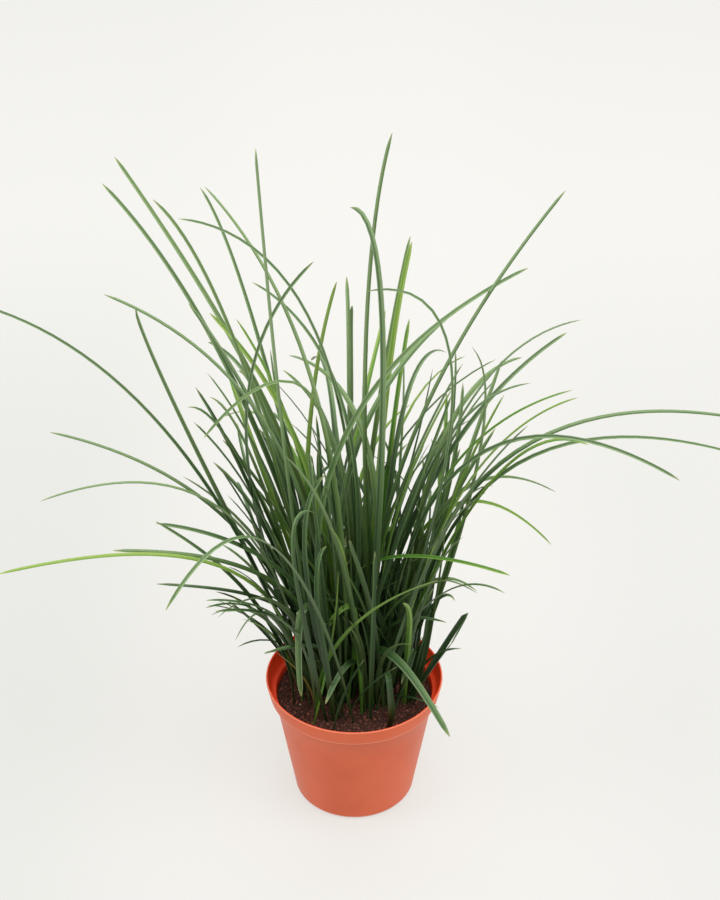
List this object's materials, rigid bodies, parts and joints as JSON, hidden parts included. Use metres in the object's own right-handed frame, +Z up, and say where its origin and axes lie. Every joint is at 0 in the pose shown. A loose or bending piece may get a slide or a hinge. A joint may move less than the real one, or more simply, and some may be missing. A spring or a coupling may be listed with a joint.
{
  "type": "potted ornamental grass clump",
  "caption": "Round tapered plastic nursery pot filled with soil, from which a dense clump of long narrow arching grass leaves grows.",
  "frame": {"origin": "centre of the pot's flat underside, on the surface that the pot stands on", "axes": "+Z up along the pot's axis, +X to the right and +Y away for a viewer in front, who stands where the picture was taken from"},
  "size_m": [0.4363, 0.3629, 0.445],
  "materials": {
    "pot_plastic": "moulded polypropylene, satin, terracotta orange",
    "potting_soil": "moist peat based potting soil, matt, dark reddish brown, crumbly",
    "mature_leaf": "grown leaf, satin, dark green with paler ribs and a straw coloured tip",
    "young_leaf": "young leaf, satin, bright yellow green"
  },
  "bodies": {
    "root": {"pot": "pot_plastic", "soil": "potting_soil", "leaf_01": "mature_leaf", "leaf_02": "mature_leaf", "leaf_03": "mature_leaf", "leaf_04": "mature_leaf", "leaf_05": "mature_leaf", "leaf_06": "mature_leaf", "leaf_07": "mature_leaf", "leaf_08": "mature_leaf", "leaf_09": "young_leaf", "leaf_10": "mature_leaf", "leaf_11": "mature_leaf", "leaf_12": "mature_leaf", "leaf_13": "mature_leaf", "leaf_14": "mature_leaf", "leaf_15": "mature_leaf", "leaf_16": "mature_leaf", "leaf_17": "mature_leaf", "leaf_18": "mature_leaf", "leaf_19": "mature_leaf", "leaf_20": "mature_leaf", "leaf_21": "mature_leaf", "leaf_22": "mature_leaf", "leaf_23": "mature_leaf", "leaf_24": "mature_leaf", "leaf_25": "mature_leaf", "leaf_26": "young_leaf", "leaf_27": "mature_leaf", "leaf_28": "mature_leaf", "leaf_29": "mature_leaf", "leaf_30": "mature_leaf", "leaf_31": "mature_leaf", "leaf_32": "mature_leaf", "leaf_33": "mature_leaf", "leaf_34": "mature_leaf", "leaf_35": "mature_leaf", "leaf_36": "young_leaf", "leaf_37": "young_leaf", "leaf_38": "mature_leaf", "leaf_39": "mature_leaf", "leaf_40": "mature_leaf", "leaf_41": "mature_leaf", "leaf_42": "mature_leaf", "leaf_43": "young_leaf", "leaf_44": "young_leaf", "leaf_45": "mature_leaf", "leaf_46": "mature_leaf", "leaf_47": "mature_leaf", "leaf_48": "young_leaf", "leaf_49": "mature_leaf", "leaf_50": "mature_leaf", "leaf_51": "young_leaf", "leaf_52": "young_leaf", "leaf_53": "mature_leaf", "leaf_54": "young_leaf", "leaf_55": "mature_leaf", "leaf_56": "mature_leaf", "leaf_57": "mature_leaf", "leaf_58": "mature_leaf"}
  },
  "joints": []
}
